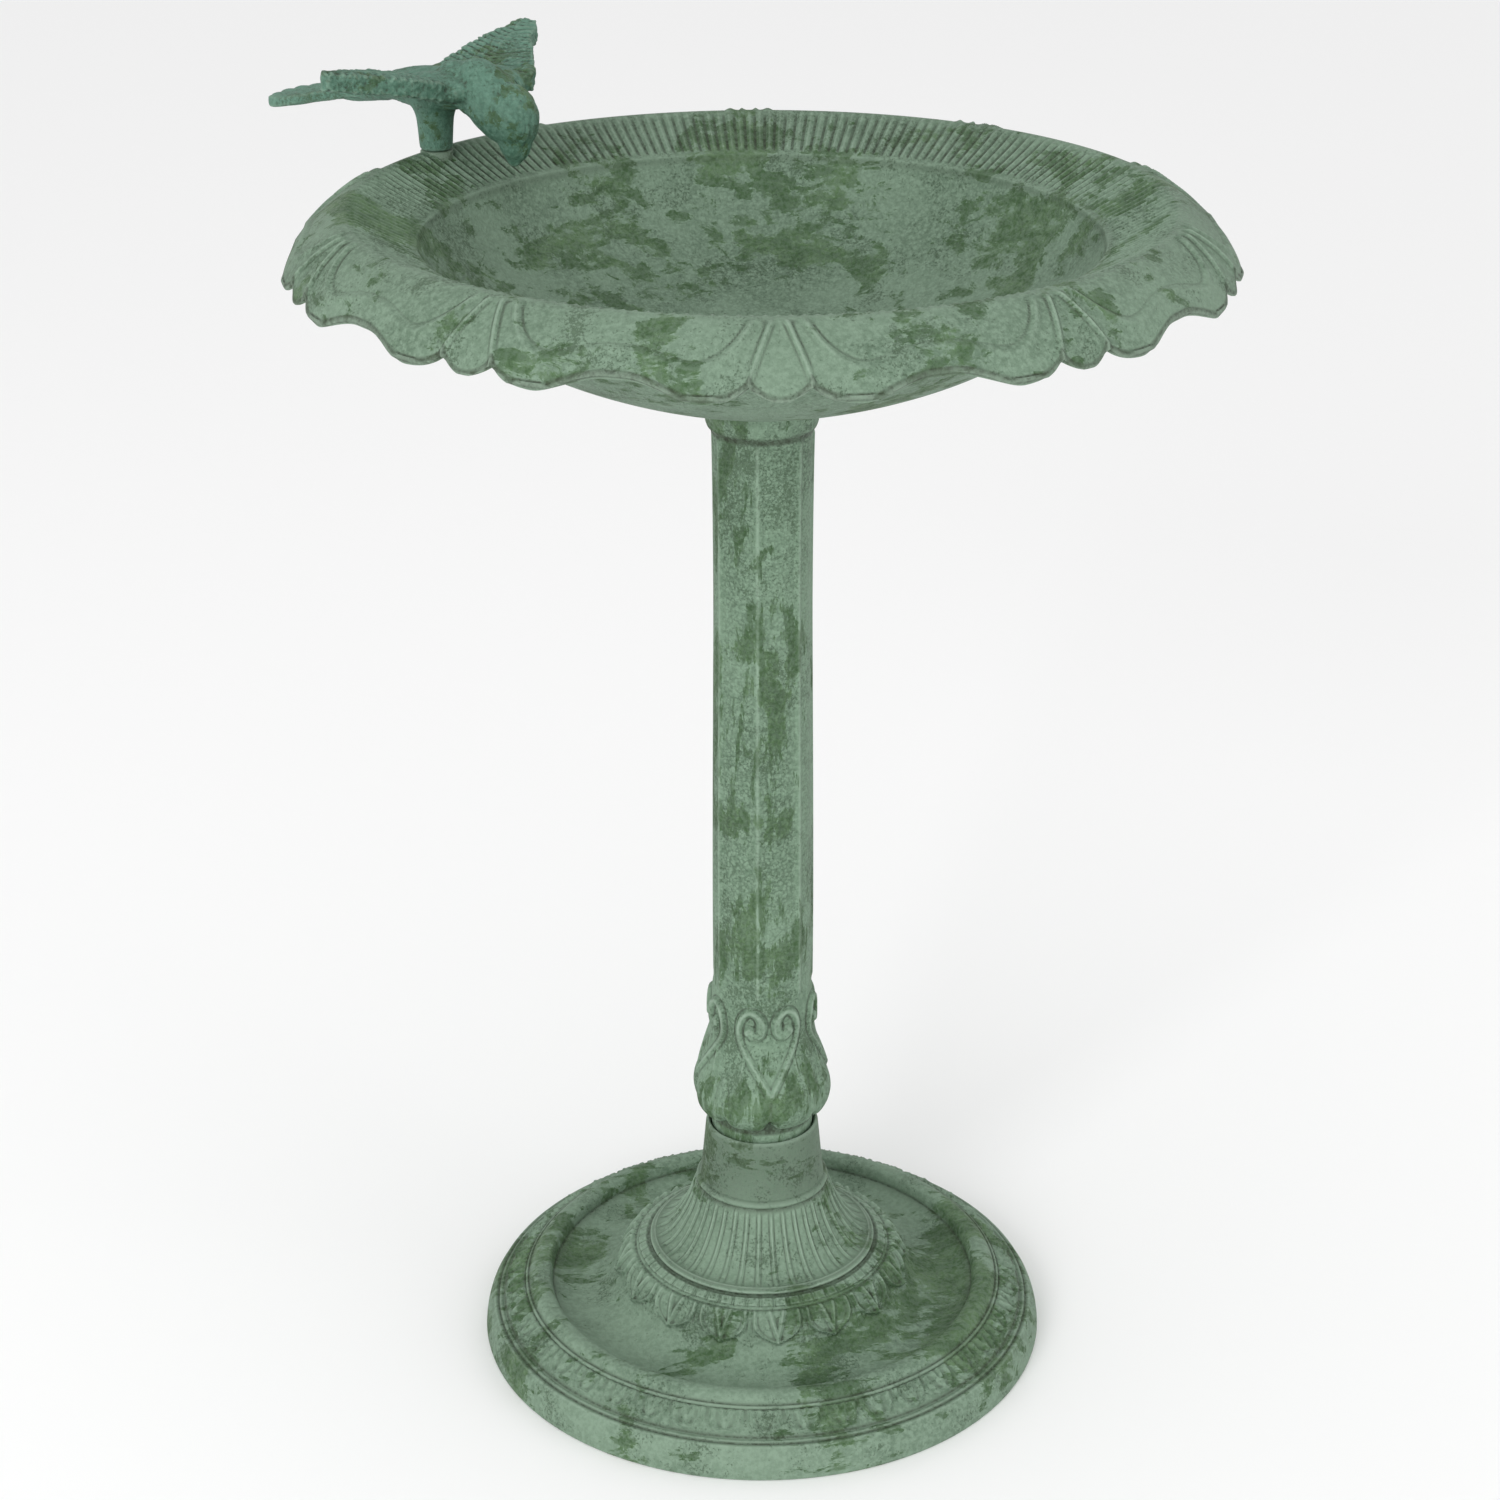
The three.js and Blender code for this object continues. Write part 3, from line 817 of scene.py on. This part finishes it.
# %% bird volumes
def volume(name, middle, half, tilt):
    """An egg: its middle and half sizes in mm, its nose turned down by `tilt` degrees."""
    deselect()
    bpy.ops.mesh.primitive_uv_sphere_add(segments=40, ring_count=20, radius=MM)
    egg = bpy.context.object
    egg.name = name
    egg.scale = half
    egg.rotation_euler = (0, math.radians(tilt), 0)
    egg.location = Vector(middle) * MM
    bpy.ops.object.transform_apply(location=True, rotation=True, scale=True)
    return egg


def slab(name, outline, thickness, level):
    """A filled outline in X and Y, extruded upwards, then lifted to level(x, y) mm."""
    deselect()
    bpy.ops.mesh.primitive_circle_add(vertices=len(outline), fill_type="NGON")
    piece = bpy.context.object
    piece.name = name
    flat = np.array([(x * MM, y * MM, 0) for x, y in outline])
    write(piece, flat)

    def raise_up():
        bpy.ops.mesh.extrude_region_move(TRANSFORM_OT_translate={"value": (0, 0, thickness * MM)})
        bpy.ops.mesh.select_all(action="SELECT")
        bpy.ops.mesh.quads_convert_to_tris(ngon_method="CLIP")
        bpy.ops.mesh.subdivide(number_cuts=3)
        bpy.ops.mesh.normals_make_consistent(inside=False)

    in_edit_mode(piece, raise_up)
    place = read(piece)
    place[:, 2] += level(place[:, 0] / MM, place[:, 1] / MM) * MM - thickness * MM / 2
    write(piece, place)
    return piece


def wing_outline(side):
    points = [(29, 3), (32, 12), (34.5, 21), (33.5, 30), (28, 41), (21, 54), (11, 69), (3.5, 81),
              (0, 86), (-5, 85.5),
              (-6.5, 78), (-8, 50), (-10, 25), (-13, 3)]
    x, y = np.array(smooth(points, 4)).T
    lean = FAR_WING_LEAN if side > 0 else NEAR_WING_LEAN
    x = x + np.interp(y, *np.array(lean).T) * step(-8, 6, x)
    return list(zip(x, y * side))


def wing_level(x, y):
    return np.interp(np.abs(y), *np.array(WING_LIFT).T) - 0.05 * (x - 14)


def tail_level(x, y):
    return np.interp(-x, [30, 60, 85, 104], [30, 24.5, 19.5, 17])


stem_line = [(0, 22.2), (2.6, 22.2), (2.6, STEM_SEAT), (8.2, STEM_SEAT), (8.8, 1), (9.1, 6), (9.6, 13),
             (10.1, 18),
             (11.6, 22.5), (14, 26), (15, 31), (0, 31)]
volumes = [
    spun("bird_stem", stem_line, 48),
    volume("bird_body", (4, 0, 33.5), (40, 15, 11.2), -3),
    volume("bird_breast", (28, 0, 34), (25, 13.6, 12.5), 24),
    volume("bird_neck", (39, 0, 30), (26, 14.4, 15), 48),
    volume("bird_head", (52.2, 0, 24), (17, 13.4, 13), 74),
    volume("bird_muzzle", (52.6, 0, 12.5), (12.4, 8.8, 9.2), 84),
    volume("bird_beak", (51.8, 0, 5.2), (8, 5, 5.2), 88),
    volume("bird_left_shoulder", (30, 16, 37), (17, 11, 8), 8),
    volume("bird_right_shoulder", (13, -13, 37), (20, 11, 7.5), 4),
    volume("bird_rump", (-34, 0, 30), (36, 11, 7.6), -10),
    slab("bird_tail", smooth([(-30, 8), (-60, 12), (-88, 21), (-99, 19), (-103, 9), (-104, 0), (-103, -9),
                              (-99, -19), (-88, -21), (-60, -12), (-30, -8)], 4), 5.6, tail_level),
    slab("bird_left_wing", wing_outline(1), 9.5, wing_level),
    slab("bird_right_wing", wing_outline(-1), 9.5, wing_level),
]
bird = joined("bird", *volumes)

# %% one skin
focus(bird)
bird.data.remesh_voxel_size = 0.8 * MM
bpy.ops.object.voxel_remesh()
rounding = bird.modifiers.new("rounding", "SMOOTH")
rounding.factor = 0.5
rounding.iterations = 28
bpy.ops.object.modifier_apply(modifier="rounding")
print("bird skin of", len(bird.data.polygons), "faces")


# %% [markdown]
# The wing feathers run from the front edge to the back one, a little slanted, and end as small teeth. Short
# coverts lie over their roots, the tail feathers spread like a fan, and fine lines run down the neck.

# %% feathers
def comb(phase, pitch):
    """Rounded ridges, one each pitch, from -0.5 to 0.5."""
    return np.abs(np.sin(np.pi * phase / pitch)) - 0.5


place = read(bird) / MM
normal = read(bird, "normal")
u, v, h = place.T
side = np.abs(v)
front = np.interp(side, [0, 20, 42, 85], [42, 39, 28, 2])
chord = (u + 9) / (front + 9)
broad = np.abs(normal[:, 2])
on_wing = step(17, 25, side) * step(-16, -10, u)
flight = on_wing * (1 - step(0.5, 0.62, chord)) * step(0.2, 0.6, broad)
coverts = on_wing * step(0.5, 0.62, chord) * step(0.1, 0.5, broad)
reach = np.hypot(u - 40, side - 8)
wobble = np.sin(u / 3.1) * np.cos(v / 2.7) + 0.6 * np.sin(v / 1.9 + h / 2.3)
tail_angle = np.degrees(np.arctan2(v, -20 - u))
on_tail = step(38, 50, -u)
on_head = step(24, 36, u) * (1 - step(15, 19, side)) * (1 - step(38, 44, h))
height = 1.0 * flight * comb(side + 0.3 * u, 4.6) + 0.3 * flight * comb(u + 0.5 * side, 2.6)
height += coverts * (0.75 * comb(reach, 5.4) + 0.4 * comb(side * 1.2 - 0.7 * u, 4.2))
height += 0.55 * on_wing * ridge((chord - 0.56) * 20, 3)
height += 0.8 * on_tail * comb(tail_angle + 3.5, 7) * step(0.2, 0.6, broad)
height += on_head * 0.35 * comb(v + 0.12 * h * np.sign(v) + 0.8 * wobble, 4.4)
lumps = np.array([noise.noise(Vector(p) / 5.5) + 0.6 * noise.noise(Vector(p) / 2.4) for p in place])
uneven = np.array([noise.noise(Vector(p) / 9 + Vector((7, 3, 1))) for p in place])
height *= 0.55 + 0.9 * np.clip(0.5 + uneven, 0, 1)
height += (0.45 + 0.4 * on_wing) * lumps * step(18, 26, h)
teeth = (1.1 * comb(side + 0.3 * u, 3.6) * on_wing * (1 - step(0.05, 0.16, chord))
         * step(0.3, 0.8, -normal[:, 0]))
tail_teeth = 0.9 * comb(tail_angle + 3.5, 7) * step(0.4, 0.8, -normal[:, 0]) * on_tail
place += normal * height[:, None]
place[:, 0] -= teeth + tail_teeth

# %% bird in its place
turn = math.atan2(-STEM_PLACE[1], -STEM_PLACE[0])
turned = np.stack([place[:, 0] * math.cos(turn) - place[:, 1] * math.sin(turn),
                   place[:, 0] * math.sin(turn) + place[:, 1] * math.cos(turn), place[:, 2]], 1)
write(bird, (turned + STEM_PLACE) * MM)
keep(bird, "pebbled", 0.3)
focus(bird)
bpy.ops.object.shade_smooth()
keep_hollows(bird, 2)
paint_over(bird, verdigris("bird_verdigris", 0.03, 0.04, (90, 90, 90), (-36, -21, -19), 0.25))
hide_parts("bird_figure")
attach(bird, "bird")

# %% [markdown]
# ## Fasteners
# The rod, nuts, washers and the bird's screw are bright zinc-plated steel. They show when the bath is taken
# apart or seen from below, so the rod gets a real thread from a Screw modifier, and the nuts get the
# chamfered corners that a turned blank leaves: a hexagon cut by a spun outline.

# %% zinc
def zinc_plate(name):
    plate = Finish(name)
    dull = plate.noise(240, 3, 0.6).between(0.4, 0.6)
    film = plate.noise(1300, 2, 0.5)
    plate.set(Base_Color=plate.mix(dull, colour(176, 178, 174), colour(140, 143, 142)), Metallic=0.9,
              Roughness=0.28 + 0.2 * dull, Normal=plate.bump(film, 0.0001, 0.4))
    return plate


zinc = zinc_plate("zinc_plate")


def fastener(piece, node, body):
    paint_over(piece, zinc)
    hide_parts(node)
    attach(piece, body)
    print(piece.name, len(piece.data.polygons), "faces")


def node_span(node):
    low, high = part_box(node)
    return [v / MM for v in low], [v / MM for v in high]


def cut(piece, tool, operation):
    focus(piece)
    blade = piece.modifiers.new("cut", "BOOLEAN")
    blade.operation = operation
    blade.object = tool
    blade.solver = "EXACT"
    bpy.ops.object.modifier_apply(modifier="cut")
    bpy.data.objects.remove(tool)
    return piece


# %% threaded rod
PITCH = 1.25
THREAD_DEPTH = 0.65
(_, _, rod_low), (rod_radius, _, rod_high) = node_span("tie_rod")
deselect()
bpy.ops.mesh.primitive_circle_add(vertices=4)
rod = bpy.context.object
rod.name = "threaded_rod"
tooth = [(rod_radius - THREAD_DEPTH, 0), (rod_radius, 0.45), (rod_radius, 0.7),
         (rod_radius - THREAD_DEPTH, PITCH)]
write(rod, np.array([(r * MM, 0, (z + rod_low + PITCH) * MM) for r, z in tooth]))


def open_tooth():
    thread = bmesh.from_edit_mesh(rod.data)
    thread.edges.ensure_lookup_table()
    bmesh.ops.delete(
        thread, geom=[e for e in thread.edges if {v.index for v in e.verts} == {0, 3}], context="EDGES")
    bmesh.update_edit_mesh(rod.data)


in_edit_mode(rod, open_tooth)
turns = int((rod_high - rod_low) / PITCH) - 3
winding = rod.modifiers.new("thread", "SCREW")
winding.steps = winding.render_steps = 14
winding.iterations = turns
winding.screw_offset = PITCH * MM
winding.use_merge_vertices = True
focus(rod)
bpy.ops.object.modifier_apply(modifier="thread")
core_line = [(0, rod_low), (2.9, rod_low), (3.6, rod_low + 1.2), (3.35, rod_low + 2), (3.35, rod_high - 2),
             (3.6, rod_high - 1.2), (2.9, rod_high), (0, rod_high)]
core = spun("rod_core", core_line, 28)
rod = joined("threaded_rod", rod, core)
in_edit_mode(rod, lambda: bpy.ops.mesh.remove_doubles(threshold=1e-6))
focus(rod)
bpy.ops.object.shade_smooth_by_angle(angle=math.radians(35))
fastener(rod, "tie_rod", "bowl")


# %% nuts
NUT_BORE = 4.1
NUT_MOUTH = 5.2


def nut(name, node, body):
    (_, _, low), (_, corner, high) = node_span(node)
    deselect()
    bpy.ops.mesh.primitive_cylinder_add(vertices=6, radius=corner * MM, depth=(high - low) * MM,
                                        location=(0, 0, (low + high) / 2 * MM))
    piece = bpy.context.object
    piece.name = name
    bpy.ops.object.transform_apply(location=True, rotation=True, scale=True)
    blank = [(0, low - 1), (corner - 1.4, low - 1), (corner - 0.9, low), (corner + 0.1, low + 0.75),
             (corner + 0.1, high - 0.75), (corner - 0.9, high), (corner - 1.4, high + 1), (0, high + 1)]
    cut(piece, spun("blank", blank, 48), "INTERSECT")
    bore = [(0, low - 1), (NUT_MOUTH, low - 1), (NUT_BORE, low + 0.6), (NUT_BORE, high - 0.6),
            (NUT_MOUTH, high + 1), (0, high + 1)]
    cut(piece, spun("bore", bore, 32), "DIFFERENCE")
    bpy.ops.object.shade_smooth_by_angle(angle=math.radians(30))
    fastener(piece, node, body)


nut("lower_nut", "base_nut", "nut")
nut("locking_nut", "rod_lock_nut", "bowl")


# %% washers and screw
def washer(name, node, body, hole, soft, middle=(0, 0)):
    (_, _, low), (high_x, _, high) = node_span(node)
    outer = high_x - middle[0]
    line = [(hole, low + soft), (hole + soft, low), (outer - soft, low), (outer, low + soft),
            (outer, high - soft),
            (outer - soft, high), (hole + soft, high), (hole, high - soft), (hole, low + soft)]
    piece = spun(name, line, 64)
    place = read(piece)
    write(piece, place + np.array([middle[0], middle[1], 0]) * MM)
    focus(piece)
    bpy.ops.object.shade_smooth_by_angle(angle=math.radians(30))
    fastener(piece, node, body)


washer("flat_washer", "plate_washer", "washers", 4.3, 0.3)
washer("bird_washer", "bird_screw_washer", "bowl", 2.8, 0.15, STEM_PLACE[:2])

(_, _, ring_low), (ring_outer, _, ring_high) = node_span("spring_washer")
deselect()
bpy.ops.mesh.primitive_plane_add(size=1)
spring = bpy.context.object
spring.name = "split_washer"
corners = [(4.4, ring_low), (ring_outer - 0.1, ring_low), (4.4, ring_high - 0.7),
           (ring_outer - 0.1, ring_high - 0.7)]
write(spring, np.array([(r * MM, 0, z * MM) for r, z in corners]))
coil = spring.modifiers.new("coil", "SCREW")
coil.angle = math.radians(345)
coil.steps = coil.render_steps = 48
coil.screw_offset = 0.65 * MM
focus(spring)
bpy.ops.object.modifier_apply(modifier="coil")


def close_ends():
    bpy.ops.mesh.select_all(action="DESELECT")
    bpy.ops.mesh.select_non_manifold()
    bpy.ops.mesh.edge_face_add()
    bpy.ops.mesh.select_all(action="SELECT")
    bpy.ops.mesh.normals_make_consistent(inside=False)


in_edit_mode(spring, close_ends)
edges = spring.modifiers.new("edges", "BEVEL")
edges.width = 0.2 * MM
edges.segments = 2
bpy.ops.object.modifier_apply(modifier="edges")
bpy.ops.object.shade_smooth_by_angle(angle=math.radians(30))
fastener(spring, "spring_washer", "washers")

SCREW_PITCH = 0.8
SCREW_CORE = 2.05
SCREW_CREST = 2.5
(_, _, screw_low), (_, _, screw_high) = node_span("bird_screw")
screw_line = [(0, screw_low), (3.9, screw_low), (4.4, screw_low + 0.4), (4.55, screw_low + 4),
              (2.5, screw_low + 4),
              (2.5, screw_low + 8)]
for k in range(int((screw_high - screw_low - 10) / SCREW_PITCH)):
    up = screw_low + SCREW_PITCH * k
    screw_line += [(SCREW_CORE, up + 8.3), (SCREW_CREST, up + 8.6)]
screw_line += [(1.8, screw_high), (0, screw_high)]
screw = spun("stem_screw", screw_line, 32)
write(screw, read(screw) + np.array([STEM_PLACE[0], STEM_PLACE[1], 0]) * MM)
deselect()
bpy.ops.mesh.primitive_cylinder_add(vertices=6, radius=1.75 * MM, depth=5 * MM,
                                    location=(STEM_PLACE[0] * MM, STEM_PLACE[1] * MM, screw_low * MM))
key = bpy.context.object
bpy.ops.object.transform_apply(location=True, rotation=True, scale=True)
cut(screw, key, "DIFFERENCE")
bpy.ops.object.shade_smooth_by_angle(angle=math.radians(30))
fastener(screw, "bird_screw", "bowl")

# %% [markdown]
# ## Studio
# A pale floor and an even white world light every side softly. One large soft box in front gives the ornament
# its shading, and a weaker one on the other side keeps the shadows open.

# %% floor and light
FLOOR_WHITE = (0.93, 0.93, 0.93, 1)
WORLD_LIGHT = 0.9
LIT_POINT = Vector((0, 0, 0.4))

deselect()
bpy.ops.mesh.primitive_plane_add(size=12, location=(0, 0, 0))
floor = bpy.context.object
floor.name = "studio_floor"
white = bpy.data.materials.new("studio_white")
white.use_nodes = True
white.node_tree.nodes["Principled BSDF"].inputs["Base Color"].default_value = FLOOR_WHITE
white.node_tree.nodes["Principled BSDF"].inputs["Roughness"].default_value = 0.9
floor.data.materials.append(white)

world = bpy.data.worlds.new("studio_world")
bpy.context.scene.world = world
world.use_nodes = True
world.node_tree.nodes["Background"].inputs["Color"].default_value = (1, 1, 1, 1)
world.node_tree.nodes["Background"].inputs["Strength"].default_value = WORLD_LIGHT


def softbox(name, place, size, power):
    light = bpy.data.lights.new(name, "AREA")
    light.shape = "RECTANGLE"
    light.size, light.size_y = size
    light.energy = power
    lamp = bpy.data.objects.new(name, light)
    bpy.context.collection.objects.link(lamp)
    lamp.location = place
    lamp.rotation_euler = (LIT_POINT - Vector(place)).to_track_quat("-Z", "Y").to_euler()


softbox("key_light", (-2.2, -2.8, 1.7), (1.6, 1.6), 62)
softbox("fill_light", (2.4, -2.2, 1.2), (2.0, 2.0), 16)
bpy.context.scene.view_settings.view_transform = "Standard"
